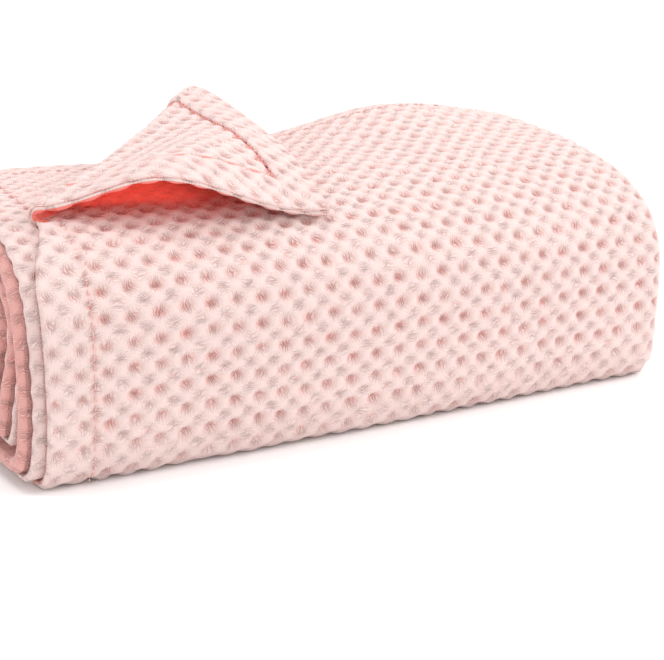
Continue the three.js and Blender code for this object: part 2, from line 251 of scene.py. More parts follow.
def dress(piece, cells, painted_shade, corners):
    """Gives a mesh its weave map, in cells across and along the cloth, and its painted shade value at each
    point.
    """
    places = piece.data.uv_layers.new(name="weave")
    places.data.foreach_set("uv", cells.reshape(-1, 2)[corners].astype(np.float32).ravel())
    values = piece.data.attributes.new("painted_shade", "FLOAT", "POINT")
    values.data.foreach_set("value", painted_shade.astype(np.float32).ravel())


def plain(x, lift, length, across):
    """No relief, and an even painted shade of deep pink on cloth that only shows between the turns of the
    roll.
    """
    return np.zeros_like(x), np.full_like(x, SHADE_BETWEEN_TURNS), np.stack([across, length], -1) / CELL


END_ROUND = 1.4 * MM
HEM = 20 * MM
HEM_THICKNESS = 1.35 * MM
LIP_THINNING = 0.42


def cap_faces(ring, points):
    """Triangles that close the end of a thin sheet: they zip its two faces together from the outline's
    two ends, always by the shorter of the two next diagonals."""
    near_side, far_side, faces = 0, len(ring) - 1, []
    while far_side - near_side > 1:
        forward = np.linalg.norm(points[ring[near_side + 1]] - points[ring[far_side]])
        backward = np.linalg.norm(points[ring[near_side]] - points[ring[far_side - 1]])
        if forward <= backward:
            faces.append([ring[near_side], ring[near_side + 1], ring[far_side]])
            near_side += 1
        else:
            faces.append([ring[near_side], ring[far_side - 1], ring[far_side]])
            far_side -= 1
    return np.array(faces)


def wound_cloth(name, outline, lengths, material, relief=plain, ends=(True, True),
                side_hem=False):
    """Carries a closed outline along the strip. relief gives each point's rise and painted shade value from
    its place in the weave; the cloth thins to a rounded lip at an end that is free, and its inner face makes
    room for the hems' turned-under cloth there and, with side_hem, at its left edge."""
    rows, columns = outline.shape[:2]
    x, lift, out_x, out_lift = np.moveaxis(outline, -1, 0)
    length = np.broadcast_to(lengths[:, None], x.shape)
    steps = np.hypot(np.diff(x, axis=1), np.diff(lift, axis=1))
    across = x[:, :1] + np.concatenate([np.zeros((rows, 1)), np.cumsum(steps, axis=1)], axis=1)
    rise, painted_shade, cells = relief(x, lift, length, across)
    inner_face = out_lift < -0.9
    if side_hem:
        rise = rise - HEM_THICKNESS * inner_face * (1 - smooth((x - x[:, :1] - HEM) / MM))
        inner_face = inner_face & (x - x[:, :1] > HEM)
    for free, gap in zip(ends, (length - lengths[0], lengths[-1] - length)):
        if free:
            rise = rise - HEM_THICKNESS * inner_face * (1 - smooth((gap - HEM) / MM))
            bow = np.clip(1 - gap / END_ROUND, 0, 1)
            rise = rise - LIP_THINNING * SHEET * (1 - np.sqrt(1 - bow * bow))
    points = cloth_at(x + rise * out_x, length, lift + rise * out_lift)
    points[..., 2] = np.maximum(points[..., 2], floor_z)
    index = np.arange(rows * columns).reshape(rows, columns)
    after = np.roll(index, -1, axis=1)
    quads = np.stack([index[:-1], after[:-1], after[1:], index[1:]], -1).reshape(-1, 4)
    flat = points.reshape(-1, 3)
    a, b, c, d = (flat[quads[:, k]] for k in range(4))
    volume = np.einsum("ij,ij->i", a, np.cross(b, c) + np.cross(c, d)).sum()
    outwards = volume > 0
    if not outwards:
        quads = quads[:, ::-1]
    caps = [cap_faces(ring, flat) for ring in (index[0], index[-1])]
    caps = np.concatenate([caps[0][:, ::-1], caps[1]] if outwards else [caps[0], caps[1][:, ::-1]])
    piece = new_object(name, flat, quads.tolist() + caps.tolist(), material)
    corners = np.concatenate([quads.ravel(), caps.ravel()])
    dress(piece, cells, painted_shade, corners)
    return piece


# Cotton, light to deep: the colour of a float, of the cloth between, and the painted shade at the bottom of a
# deep hollow
CELL = 11.14 * MM
STRANDS = 9.0
PALE, PINK, DEEP_SHADE = (0.80, 0.63, 0.60), (0.785, 0.55, 0.52), (0.70, 0.31, 0.275)
GLOW_RED = (0.90, 0.13, 0.09)
# The even painted shade of cloth between the roll's turns, the deepest painted shade of the weave, and the
# strength of the painted red glow beyond it
SHADE_BETWEEN_TURNS, DEEPEST, GLOW_STRENGTH = 0.50, 0.62, 0.36


def yarn_group():
    """Strands that show in the weave's hollows: in a deep hollow they run along the cloth and in a shallow
    one across it. Weave is the place in cells; Height is the strands' relief with fuzz on it, and Tint is
    painted light and shade on them, paler on the strands and deeper between them."""
    group = bpy.data.node_groups.new("yarn", "ShaderNodeTree")
    group.interface.new_socket("Weave", in_out="INPUT", socket_type="NodeSocketVector")
    group.interface.new_socket("Height", in_out="OUTPUT", socket_type="NodeSocketFloat")
    group.interface.new_socket("Tint", in_out="OUTPUT", socket_type="NodeSocketFloat")
    nodes, links = group.nodes, group.links

    def math(operation, first, second=0.0):
        node = nodes.new("ShaderNodeMath")
        node.operation = operation
        for socket, value in zip(node.inputs, (first, second)):
            if isinstance(value, float):
                socket.default_value = value
            else:
                links.new(value, socket)
        return node.outputs["Value"]

    def noise(scale, detail):
        node = nodes.new("ShaderNodeTexNoise")
        node.inputs["Scale"].default_value = scale
        node.inputs["Detail"].default_value = detail
        links.new(source.outputs["Weave"], node.inputs["Vector"])
        return node.outputs["Fac"]

    source = nodes.new("NodeGroupInput")
    result = nodes.new("NodeGroupOutput")
    split = nodes.new("ShaderNodeSeparateXYZ")
    links.new(source.outputs["Weave"], split.inputs["Vector"])
    sway = math("MULTIPLY", noise(2.2, 2.0), 0.6)
    strands = []
    for place, cross in (("X", "Y"), ("Y", "X")):
        fan = math("MULTIPLY", math("SINE", math("MULTIPLY", split.outputs[cross], 6.2832)), 0.06)
        swayed = math("ADD", math("ADD", split.outputs[place], fan), sway)
        strands.append(math("SINE", math("MULTIPLY", swayed, 6.2832 * STRANDS)))
    rounds = [math("COSINE", math("MULTIPLY", split.outputs[place], 6.2832)) for place in ("X", "Y")]
    low = [math("MULTIPLY", math("SUBTRACT", 1.0, value), 0.5) for value in rounds]
    deep = math("MULTIPLY", low[0], low[1])
    shallow = math("MULTIPLY", math("SUBTRACT", 1.0, low[0]), math("SUBTRACT", 1.0, low[1]))
    lines = math("ADD", math("MULTIPLY", strands[0], deep), math("MULTIPLY", strands[1], shallow))
    fuzz = math("MULTIPLY", noise(24.0, 4.0), 0.35)
    links.new(math("ADD", math("MULTIPLY", lines, 0.5), fuzz), result.inputs["Height"])
    # Tint: painted light and shade that follow the strands' relief
    links.new(math("MULTIPLY", lines, -0.5), result.inputs["Tint"])
    return group


YARN = yarn_group()


def cotton(name, bump_strength, base_shade=0.0):
    """Matte cotton. Colour runs from a pale float through pink to the painted shade at the bottom of a deep
    hollow, following each point's painted shade value; strands tint it and raise a bump. Past DEEPEST it
    turns to a painted red glow, base colour and emission that stand in for light coming through the cloth.
    base_shade moves all of it deeper."""
    material = bpy.data.materials.new(name)
    material.use_nodes = True
    nodes, links = material.node_tree.nodes, material.node_tree.links
    shader = nodes["Principled BSDF"]
    shader.inputs["Roughness"].default_value = 0.92
    shader.inputs["Specular IOR Level"].default_value = 0.18
    shader.inputs["Sheen Weight"].default_value = 0.25
    shader.inputs["Sheen Roughness"].default_value = 0.6
    shader.inputs["Sheen Tint"].default_value = (1.0, 0.93, 0.92, 1)
    place = nodes.new("ShaderNodeUVMap")
    place.uv_map = "weave"
    yarn = nodes.new("ShaderNodeGroup")
    yarn.node_tree = YARN
    links.new(place.outputs["UV"], yarn.inputs["Weave"])
    painted_shade = nodes.new("ShaderNodeAttribute")
    painted_shade.attribute_name = "painted_shade"
    shaded = nodes.new("ShaderNodeMath")
    shaded.operation = "ADD"
    shaded.inputs[1].default_value = base_shade
    links.new(painted_shade.outputs["Fac"], shaded.inputs[0])
    tinted = nodes.new("ShaderNodeMath")
    tinted.operation = "MULTIPLY_ADD"
    tinted.inputs[1].default_value = 0.42
    links.new(yarn.outputs["Tint"], tinted.inputs[0])
    links.new(shaded.outputs["Value"], tinted.inputs[2])
    ramp = nodes.new("ShaderNodeValToRGB")
    ramp.color_ramp.elements[0].color = (*PALE, 1)
    ramp.color_ramp.elements[1].color = (*GLOW_RED, 1)
    for position, colour in ((0.26, PINK), (DEEPEST, DEEP_SHADE)):
        ramp.color_ramp.elements.new(position).color = (*colour, 1)
    # Painted glow: emission in the red of light through the cloth, rising from just past DEEPEST
    through = nodes.new("ShaderNodeMapRange")
    through.inputs["From Min"].default_value = DEEPEST + 0.06
    through.inputs["From Max"].default_value = 1.0
    through.inputs["To Max"].default_value = GLOW_STRENGTH
    links.new(painted_shade.outputs["Fac"], through.inputs["Value"])
    links.new(through.outputs["Result"], shader.inputs["Emission Strength"])
    shader.inputs["Emission Color"].default_value = (*GLOW_RED, 1)
    links.new(tinted.outputs["Value"], ramp.inputs["Fac"])
    links.new(ramp.outputs["Color"], shader.inputs["Base Color"])
    bump = nodes.new("ShaderNodeBump")
    bump.inputs["Strength"].default_value = bump_strength
    bump.inputs["Distance"].default_value = 0.6 * MM
    links.new(yarn.outputs["Height"], bump.inputs["Height"])
    links.new(bump.outputs["Normal"], shader.inputs["Normal"])
    return material


# The waffle cloth, and copies of it with a little painted shade: deeper for the cloth inside the roll and for
# the hems. The thread is deeper still.
WAFFLE = cotton("waffle_cloth", 0.9)
INNER_SHADED = cotton("inner_cloth_shaded", 0.9, base_shade=0.04)
HEM_CLOTH_SHADED = cotton("hem_cloth", 0.9, base_shade=0.05)
THREAD = cotton("hem_thread", 0.3, base_shade=0.12)

LEFT_BEND_X, INNER_RIGHT = 0.0, ROLL_LENGTH - 9 * MM
third, innermost = -2 * LAYER, -3 * LAYER


def lengths_between(first, last, step):
    """Lengths along the strip, closer together at both ends where the lips are rounded."""
    lip = END_ROUND * np.array([0.0, 0.12, 0.35, 0.65, 1.0])
    middle = np.linspace(first + END_ROUND, last - END_ROUND, max(int((last - first) / step), 2))
    return np.concatenate([first + lip[:-1], middle, last - lip[:-1][::-1]])


inner_lengths = lengths_between(0.0, STRIP_LENGTH, 5 * MM)
outer_radius = (LAYER + SHEET) / 2
bend_lift = (third + innermost - SHEET) / 2
bend_x = LEFT_BEND_X + outer_radius
inner_quarters = wound_cloth(
    "third_and_innermost_quarters",
    outline_of(
        len(inner_lengths),
        line(INNER_RIGHT, bend_x, third - SHEET, 24, -1),
        bend(bend_x, bend_lift, outer_radius - SHEET, 90, 270, 5, -1),
        line(bend_x, INNER_RIGHT, innermost, 24, 1),
        line(INNER_RIGHT, bend_x, innermost - SHEET, 24, -1),
        bend(bend_x, bend_lift, outer_radius, 270, 90, 13),
        line(bend_x, INNER_RIGHT, third, 24, 1),
    ),
    inner_lengths,
    INNER_SHADED,
)
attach(inner_quarters, "roll")
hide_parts("third_quarter", "innermost_quarter", "left_bend")

# --------------------------------------------------------------------------------------------------
# The weave
# Waffle cloth: a square grid of deep pockets, a shallow one between each four, and smooth floats of yarn
# that stand up around them. In a hem the cloth is pressed flatter, so its pockets are shallower.
# --------------------------------------------------------------------------------------------------
DEEP_POCKET, SHALLOW_POCKET, FLOAT_RISE = 2.0 * MM, 0.7 * MM, 0.6 * MM
DEEP_SPREAD, SHALLOW_SPREAD, POCKET_SHAPE = 0.205, 0.16, 0.78
STITCH_PITCH = 4.4 * MM
STITCH_DIMPLE = 0.9 * MM
STITCH_SHADE = 0.5
HEM_FLATTENING = 0.30
random = np.random.default_rng(7)
UNEVEN = random.uniform(0.78, 1.12, (2, 97, 173))
JITTER = random.normal(0.0, 0.035, (2, 2, 97, 173))
WANDER = random.uniform(-1.0, 1.0, (41, 61))


def wandering(a, b, size):
    """Slow, smooth wander over the cloth: a table of random values eased together every four cells."""
    i, j = a / (4 * CELL), b / (4 * CELL)
    i0, j0 = np.floor(i).astype(int), np.floor(j).astype(int)
    f, g = smooth(i - i0), smooth(j - j0)
    near = mix(WANDER[i0 % 41, j0 % 61], WANDER[(i0 + 1) % 41, j0 % 61], f)
    far = mix(WANDER[i0 % 41, (j0 + 1) % 61], WANDER[(i0 + 1) % 41, (j0 + 1) % 61], f)
    return size * mix(near, far, g)


def dimples(i, j, kind, spread):
    """Bell-shaped dimples, one in each square of a grid, wider across the cloth than along it. Each is a
    little off its place and uneven in depth."""
    i0, j0 = np.floor(i).astype(int), np.floor(j).astype(int)
    p, q = i0 % 97, j0 % 173
    off_i = i - i0 - 0.5 - JITTER[kind, 0, p, q]
    off_j = j - j0 - 0.5 - JITTER[kind, 1, p, q]
    bell = (off_i / spread) ** 2 + (off_j / (POCKET_SHAPE * spread)) ** 2
    return UNEVEN[kind, p, q] * np.exp(-bell / 2)


def weave(across, along, pressed):
    """Height of the weave, its painted shade (deeper the further a place lies in a hollow), and its place in
    cells. Deep dimples sit in the middle of the cells, shallow ones at their corners, and the floats rise
    between: u(1-v) + v(1-u)."""
    i = (across + wandering(across, along, 1.0 * MM)) / CELL
    j = (along + wandering(along + 0.3, across, 1.0 * MM)) / CELL
    u, v = (1 - np.cos(2 * np.pi * i)) / 2, (1 - np.cos(2 * np.pi * j)) / 2
    deep = dimples(i, j, 0, DEEP_SPREAD)
    shallow = dimples(i + 0.5, j + 0.5, 1, SHALLOW_SPREAD)
    floats = u * (1 - v) + v * (1 - u)
    strength = 1 - HEM_FLATTENING * pressed
    height = strength * (FLOAT_RISE * floats - DEEP_POCKET * deep - SHALLOW_POCKET * shallow)
    height = height + wandering(1.7 * along, 1.7 * across, 0.35 * MM)
    # Painted shade, deepest in the deep dimples and lighter in the shallow ones
    painted_shade = np.clip(strength * (0.52 * deep + 0.22 * shallow), 0, DEEPEST)
    return height, painted_shade, np.stack([i, j], -1)


def hem_share(distance):
    """1 in a hem, easing to 0 just past its stitching. The distance is from the cloth's edge."""
    return 1 - smooth((distance - HEM + 1 * MM) / (3 * MM))


def stitch_pull(distance, along):
    """The dimples that a row of stitches pulls into the cloth at the hem's inner edge, one at each hole."""
    across_row = np.exp(-(((distance - HEM) / (1.1 * MM)) ** 2))
    holes = 0.35 + 0.65 * np.cos(np.pi * along / STITCH_PITCH) ** 4
    return across_row * holes


# --------------------------------------------------------------------------------------------------
# The second quarter
# The layer under the outermost. It shows where the corner is turned back and at the left end, where it
# sticks out a little, so only that part carries the full weave. At the right end it bends into the third.
# --------------------------------------------------------------------------------------------------
SECOND_LEFT = 4 * MM
second_lift = -LAYER
shown_width = 165 * MM
INNER_BEND_RADIUS = (LAYER + SHEET) / 2
inner_bend_x = ROLL_LENGTH - SHEET - 0.4 * MM - INNER_BEND_RADIUS
shown_length = 165 * MM
second_lengths = np.concatenate([
    lengths_between(0.0, shown_length + END_ROUND, 1.3 * MM)[:-4],
    np.linspace(shown_length, STRIP_LENGTH - END_ROUND, 230)[1:],
    STRIP_LENGTH - END_ROUND * np.array([0.6, 0.3, 0.1, 0.0]),
])


def second_relief(x, lift, length, across):
    """Full weave and its painted shade where the layer shows, fading out to the even painted shade between
    turns where it lies under the outermost quarter.
    """
    shown = smooth((shown_width - x) / (12 * MM)) * smooth((shown_length - length) / (12 * MM))
    near_left = 0.5 * smooth((26 * MM - x) / (6 * MM))
    shown = np.maximum(shown, near_left) * (lift > second_lift - 0.9 * SHEET)
    at_edge = x - SECOND_LEFT
    pressed = np.maximum(hem_share(at_edge), hem_share(length))
    rise, painted_shade, cells = weave(across, length, pressed)
    pull = np.maximum(stitch_pull(at_edge, length), stitch_pull(length, across))
    painted_shade = mix(SHADE_BETWEEN_TURNS, np.minimum(painted_shade + STITCH_SHADE * pull, DEEPEST), smooth(2 * shown))
    return shown * (rise - STITCH_DIMPLE * pull), painted_shade, cells


edge_radius = SHEET / 2
second_quarter = wound_cloth(
    "second_quarter_cloth",
    outline_of(
        len(second_lengths),
        bend(SECOND_LEFT + edge_radius, second_lift - edge_radius, edge_radius, 270, 100, 8),
        line(SECOND_LEFT + edge_radius, shown_width, second_lift, 118, 1),
        line(shown_width + 8 * MM, inner_bend_x, second_lift, 18, 1),
        bend(inner_bend_x, bend_lift + LAYER, INNER_BEND_RADIUS, 80, -90, 9),
        line(inner_bend_x - 3 * MM, inner_bend_x - 3 * MM, second_lift - LAYER, 1, 1),
        bend(inner_bend_x, bend_lift + LAYER, INNER_BEND_RADIUS - SHEET, -90, 90, 5, -1),
        line(inner_bend_x, SECOND_LEFT + HEM + 3 * MM, second_lift - SHEET, 22, -1),
        line(SECOND_LEFT + HEM, SECOND_LEFT + 3 * MM, second_lift - SHEET, 6, -1),
    ),
    second_lengths,
    INNER_SHADED,
    relief=second_relief,
    side_hem=True,
)
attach(second_quarter, "roll")
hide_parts("second_quarter", "right_inner_bend")

# --------------------------------------------------------------------------------------------------
# The outermost quarter
# The cloth that the eye meets: it goes once round the outside of the roll with the whole weave raised, and
# bends round the right end. Its corner is turned back, so its left edge starts on the soft fold's slant.
# --------------------------------------------------------------------------------------------------
OUTER_LEFT = 9 * MM
FOLD_AT_SIDE, FOLD_AT_END = np.array([20.0, 116.0]) * MM, np.array([150.0, 0.0]) * MM
PULLED_IN_BY = 45 * MM
FOLD_TIP = np.array([145.0, 139.0]) * MM
FOLD_GAP = 3.5 * MM
# Painted red glow in the mouth under the turned-back corner: how far past the fold it starts, the stretch it
# rises over, and the stretch over which it fades towards the tip
GLOW_OUT, GLOW_OVER, GLOW_FADES = 6 * MM, 30 * MM, 70 * MM
OUTER_BEND_RADIUS = (3 * LAYER + SHEET) / 2
outer_bend_x = ROLL_LENGTH - OUTER_BEND_RADIUS
outer_bend_lift = -OUTER_BEND_RADIUS
first_turn_end = FIRST_TURN + 12 * MM


def graded_lengths(first, last, fine, coarse, stretch):
    """Lengths with a fine step, and a coarse one in the stretch that lies on the floor."""
    parts = [
        lengths_between(first, stretch[0] + END_ROUND, fine)[:-4],
        np.linspace(stretch[0], stretch[1], int((stretch[1] - stretch[0]) / coarse))[1:-1],
        lengths_between(stretch[1] - END_ROUND, last, fine)[4:],
    ]
    return np.concatenate(parts)


outer_lengths = graded_lengths(0.0, first_turn_end, 1.36 * MM, 4.5 * MM, FLOOR_STRETCH)


def outer_left(length):
    """Where the outermost quarter starts: its hem's edge, drawn in towards the corner, or the slant."""
    to_fold = length - FOLD_AT_SIDE[1]
    drawn_in = (FOLD_AT_SIDE[0] - OUTER_LEFT) * (1 - smooth(to_fold / PULLED_IN_BY))
    along_slant = np.clip(-to_fold / FOLD_AT_SIDE[1], 0, 1)
    slant = mix(FOLD_AT_SIDE[0], FOLD_AT_END[0], along_slant) + FOLD_GAP
    return np.where(to_fold > 0, OUTER_LEFT + drawn_in, slant)


def outer_relief(x, lift, length, across):
    """The whole weave and its painted shade on the outer face and round the right end, with a painted red
    glow in the mouth under the turned-back corner; the inner face is plain, with the even painted shade
    between turns.
    """
    facing = (lift > -SHEET * 0.5) | (x > outer_bend_x)
    pressed = np.maximum(hem_share(x - OUTER_LEFT), hem_share(length))
    rise, painted_shade, cells = weave(across, length, pressed)
    pull = np.maximum(stitch_pull(x - OUTER_LEFT, length), stitch_pull(length, across))
    to_tip = (x - FOLD_AT_SIDE[0]) / (FOLD_TIP[0] - FOLD_AT_SIDE[0])
    mouth = mix(FOLD_AT_SIDE[1], FOLD_TIP[1], to_tip) - length
    glow = smooth((mouth + GLOW_OUT) / GLOW_OVER) * smooth((FOLD_TIP[0] - x) / GLOW_FADES)
    painted_shade = mix(np.minimum(painted_shade + STITCH_SHADE * pull, DEEPEST), 1.0, glow)
    painted_shade = np.where(facing, painted_shade, SHADE_BETWEEN_TURNS)
    return facing * (rise - STITCH_DIMPLE * pull), painted_shade, cells


def outer_outline(lengths, fine_columns, arc_points):
    """The outermost quarter's section: left edge, outer face, right bend, then the inner face back."""
    left = outer_left(lengths)
    return outline_of(
        len(lengths),
        bend(left + edge_radius, -edge_radius, edge_radius, 270, 100, 7),
        line(left + edge_radius, np.full_like(left, outer_bend_x), 0.0, fine_columns, 1),
        bend(outer_bend_x, outer_bend_lift, OUTER_BEND_RADIUS, 82, -90, arc_points),
        line(outer_bend_x - 3 * MM, outer_bend_x - 3 * MM, -3 * LAYER, 1, 1),
        bend(outer_bend_x, outer_bend_lift, OUTER_BEND_RADIUS - SHEET, -90, 90, 7, -1),
        line(np.full_like(left, outer_bend_x), left + HEM + 3 * MM, -SHEET, 14, -1),
        line(left + HEM, left + 3 * MM, -SHEET, 6, -1),
    )


outer_quarter = wound_cloth(
    "outer_quarter_cloth", outer_outline(outer_lengths, 222, 14), outer_lengths, WAFFLE,
    relief=outer_relief, ends=(True, False), side_hem=True,
)
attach(outer_quarter, "roll")
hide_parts("outer_quarter", "right_outer_bend")

later_lengths = np.linspace(first_turn_end, STRIP_LENGTH, 150)
later_turns = wound_cloth(
    "outer_quarter_later_turns", outer_outline(later_lengths, 40, 9), later_lengths, INNER_SHADED,
    ends=(False, True), side_hem=True,
)
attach(later_turns, "roll")
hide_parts("outer_quarter")

# --------------------------------------------------------------------------------------------------
# The turned-back corner and its soft fold
# One stretch of the outermost cloth. From the slant where the outer quarter stops it rises round an open
# loop, comes back over the roll with its wrong side up, and settles on the roll at its tip.
# --------------------------------------------------------------------------------------------------
LOOP_START, LOOP_END, LOOP_RISE = 6 * MM, 30 * MM, 1.5
SIDE_STAND, SIDE_LEAVES, SIDE_STANDS_BY = 19 * MM, 0.06, 0.62
CORNER_REST, CORNER_SETTLE = 1.5 * MM, 1.5
FOLD_NORMAL = np.array([FOLD_AT_SIDE[1], FOLD_AT_END[0] - FOLD_AT_SIDE[0]])
FOLD_NORMAL = FOLD_NORMAL / np.linalg.norm(FOLD_NORMAL)
CORNER_SIDE = np.linalg.norm(FOLD_AT_SIDE - FOLD_TIP)
CORNER_END = np.linalg.norm(FOLD_AT_END - FOLD_TIP)
LOOP_ROUNDNESS = (0.60, 1.0)
UNDER_EDGE = 4.2 * MM


def strip_place(x, length, lift):
    """The point at x and length, carrying on straight past the strip's free end."""
    at_end = wind(x, np.zeros_like(x), lift)
    slope = (wind(x, np.full_like(x, WINDING[40]), lift) - at_end) / WOUND_LENGTH[40]
    return cloth_at(x, np.maximum(length, 0.0), lift) + np.minimum(length, 0.0)[..., None] * slope


def corner_middle(side, end):
    """Middle of the corner's cloth, side and end along its two edges from the tip. Its side edge leaves
    the roll in an S-curve and stands up like a mouth; its end edge rises to the soft fold by a power of
    its nearness."""
    near = side / CORNER_SIDE + end / CORNER_END
    share = end / CORNER_END / np.maximum(near, 1e-6)
    stand = mix(SIDE_STAND, LOOP_START - SHEET, smooth((near - SIDE_STANDS_BY) / (1 - SIDE_STANDS_BY)))
    stood_up = smooth((near - SIDE_LEAVES) / (SIDE_STANDS_BY - SIDE_LEAVES))
    at_side = mix(CORNER_REST, stand, stood_up)
    at_end = mix(CORNER_REST, LOOP_END - SHEET, near ** CORNER_SETTLE)
    lift = mix(at_side, at_end, share ** LOOP_RISE) + SHEET / 2
    to_side = (FOLD_AT_SIDE - FOLD_TIP) / CORNER_SIDE
    to_end = (FOLD_AT_END - FOLD_TIP) / CORNER_END
    x, length = (FOLD_TIP[k] + side * to_side[k] + end * to_end[k] for k in (0, 1))
    return strip_place(x, length, lift)


def unit(vectors):
    return vectors / np.maximum(np.linalg.norm(vectors, axis=-1, keepdims=True), 1e-12)


def loop_middle(share, turn):
    """Middle of the cloth round the soft fold, turn 0 on top and 1 below: a Bezier curve whose two handles
    carry on the corner's slope above and the roll's surface below."""
    side, end = CORNER_SIDE * (1 - share), CORNER_END * share
    top = corner_middle(side, end)
    before = corner_middle(side * 0.98, end * 0.98)
    x, length = (mix(FOLD_AT_SIDE[k], FOLD_AT_END[k], share) for k in (0, 1))
    middle_lift = np.full_like(x, -SHEET / 2)
    below = strip_place(x, length, middle_lift)
    step = 2 * MM
    beyond = strip_place(x - step * FOLD_NORMAL[0], length - step * FOLD_NORMAL[1], middle_lift)
    roundness = mix(*LOOP_ROUNDNESS, smooth(1.6 * share))[..., None]
    handle = roundness * 2 / 3 * np.linalg.norm(top - below, axis=-1, keepdims=True)
    above_handle = top + handle * unit(top - before)
    below_handle = below + handle * unit(beyond - below)
    t = turn[..., None]
    ends = (1 - t) ** 3 * top + t ** 3 * below
    return ends + 3 * (1 - t) ** 2 * t * above_handle + 3 * (1 - t) * t ** 2 * below_handle


def leg_middle(share, out):
    """Middle of the cloth under the fold, from the end of the loop to just under the outer quarter."""
    reach = UNDER_EDGE * out
    x, length = (mix(FOLD_AT_SIDE[k], FOLD_AT_END[k], share) + reach * FOLD_NORMAL[k] for k in (0, 1))
    return strip_place(x, length, np.full_like(x, -SHEET / 2))


def corner_sheet(side, end, path):
    """The corner's whole middle surface. path is 0 on the corner itself, from 0 to 1 round the loop and
    from 1 to 2 on the leg below, where side and end stay on the fold's line."""
    share = end / CORNER_END / np.maximum(side / CORNER_SIDE + end / CORNER_END, 1e-6)
    flat = corner_middle(side, end)
    loop = loop_middle(share, np.clip(path, 0, 1))
    leg = leg_middle(share, np.clip(path - 1, 0, 1))
    path = path[..., None]
    return np.where(path <= 0, flat, np.where(path <= 1, loop, leg))


def grid_normals(points):
    """Unit normals of a grid of points, square to its two directions."""
    return unit(np.cross(np.gradient(points, axis=1), np.gradient(points, axis=0)))


def thick_sheet(name, middle, over, under, cells, pockets, material, wrong_way=False):
    """A closed sheet about a grid of middle points, "over" above it and "under" below it, joined round
    its rim."""
    normals = grid_normals(middle) * (-1 if wrong_way else 1)
    faces_at = [middle + over[..., None] * normals, middle - under[..., None] * normals]
    rows, columns = middle.shape[:2]
    index = np.arange(rows * columns).reshape(rows, columns)
    quads = np.stack([index[:-1, :-1], index[:-1, 1:], index[1:, 1:], index[1:, :-1]], -1).reshape(-1, 4)
    rim = np.concatenate([index[0, :-1], index[:-1, -1], index[-1, :0:-1], index[:0:-1, 0]])
    after = np.roll(rim, -1)
    total = rows * columns
    walls = np.stack([rim, rim + total, after + total, after], -1)
    faces = np.concatenate([quads, quads[:, ::-1] + total, walls])
    if not wrong_way:
        faces = faces[:, ::-1]
    points = np.concatenate([face.reshape(-1, 3) for face in faces_at])
    points[:, 2] = np.maximum(points[:, 2], floor_z)
    piece = new_object(name, points, faces.tolist(), material)
    both = np.concatenate([cells.reshape(-1, 2), cells.reshape(-1, 2)])
    dress(piece, both, np.concatenate([painted_shade.ravel() for painted_shade in pockets]), faces.ravel())
    return piece


def rounding(distance, radius):
    """Share of a sheet's thickness left near a rounded edge: a quarter circle over the radius."""
    bow = np.clip(1 - distance / radius, 0, 1)
    return 0.12 + 0.88 * np.sqrt(1 - bow * bow)


CORNER_ROWS, LOOP_ROWS, LEG_ROWS, CORNER_COLUMNS = 84, 34, 5, 150
near = np.concatenate([np.linspace(0.012, 1.0, CORNER_ROWS), np.ones(LOOP_ROWS + LEG_ROWS)])
path = np.concatenate([
    np.zeros(CORNER_ROWS),
    np.linspace(0, 1, LOOP_ROWS + 1)[1:],
    np.linspace(1, 2, LEG_ROWS + 1)[1:],
])
lips = np.array([0.0, 0.002, 0.005])
shares = np.concatenate([lips, np.linspace(0.009, 0.991, CORNER_COLUMNS), 1 - lips[::-1]])
near_grid, share_grid = np.meshgrid(near, shares, indexing="ij")
path_grid = np.broadcast_to(path[:, None], near_grid.shape)
side_grid = CORNER_SIDE * near_grid * (1 - share_grid)
end_grid = CORNER_END * near_grid * share_grid
corner_points = corner_sheet(side_grid, end_grid, path_grid)
row_steps = np.linalg.norm(np.diff(corner_points, axis=0, prepend=corner_points[:1]), axis=-1)
past_fold = np.cumsum(row_steps * (path_grid > 0), axis=0)
across_grid = end_grid + past_fold * FOLD_NORMAL[0]
along_grid = side_grid + past_fold * FOLD_NORMAL[1]
from_edge = np.minimum(side_grid, end_grid)
in_hem = hem_share(from_edge)
top_rise, top_painted_shade, corner_cells = weave(across_grid, along_grid, in_hem)
low_rise, low_painted_shade, _ = weave(across_grid + CELL / 2, along_grid + CELL / 2, in_hem)
thin = rounding(from_edge, 1.3 * MM)
hem_shadow = np.exp(-(((from_edge - HEM - 0.6 * MM) / (1.1 * MM)) ** 2))
top_value = np.clip(top_painted_shade + 0.75 * hem_shadow, 0, 1)
# Under face of the corner: the weave's painted shade and the even painted shade between turns, rising from
# the tip towards the soft fold into the painted red glow
low_value = np.clip(0.4 * low_painted_shade + mix(SHADE_BETWEEN_TURNS, 0.80, smooth(near_grid / 0.6)), 0, 1)
corner_cloth = thick_sheet(
    "turned_corner_cloth",
    corner_points,
    thin * (SHEET / 2 - 0.2 * MM + top_rise),
    thin * (SHEET / 2 + low_rise),
    corner_cells,
    [top_value, low_value],
    WAFFLE,
)
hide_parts("corner_cloth", "corner_soft_fold")

# Where the fold would bend at a pose: a plane fitted between the leg below it and the corner above it.
# Nothing in this script uses it.
fold_share = np.linspace(0, 1, 9)
level = np.ones_like(fold_share)
low_line = leg_middle(fold_share, 0.6 * level)
high_near = 0.86
high_line = corner_middle(CORNER_SIDE * high_near * (1 - fold_share), CORNER_END * high_near * fold_share)
known = np.concatenate([low_line, high_line])
wanted = np.concatenate([-0.1 * level, 1.1 * level])
fit, *_ = np.linalg.lstsq(np.column_stack([known, np.ones(len(known))]), wanted, rcond=None)
blend_way = fit[:3] / np.dot(fit[:3], fit[:3])
blend_start = known.mean(axis=0)
blend_start = blend_start - (np.dot(fit[:3], blend_start) + fit[3]) * blend_way


def bend_with_corner(piece):
    """Bakes the piece's placement into its points; nothing here makes it turn with the corner above the soft
    fold.
    """
    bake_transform(piece)


bend_with_corner(corner_cloth)

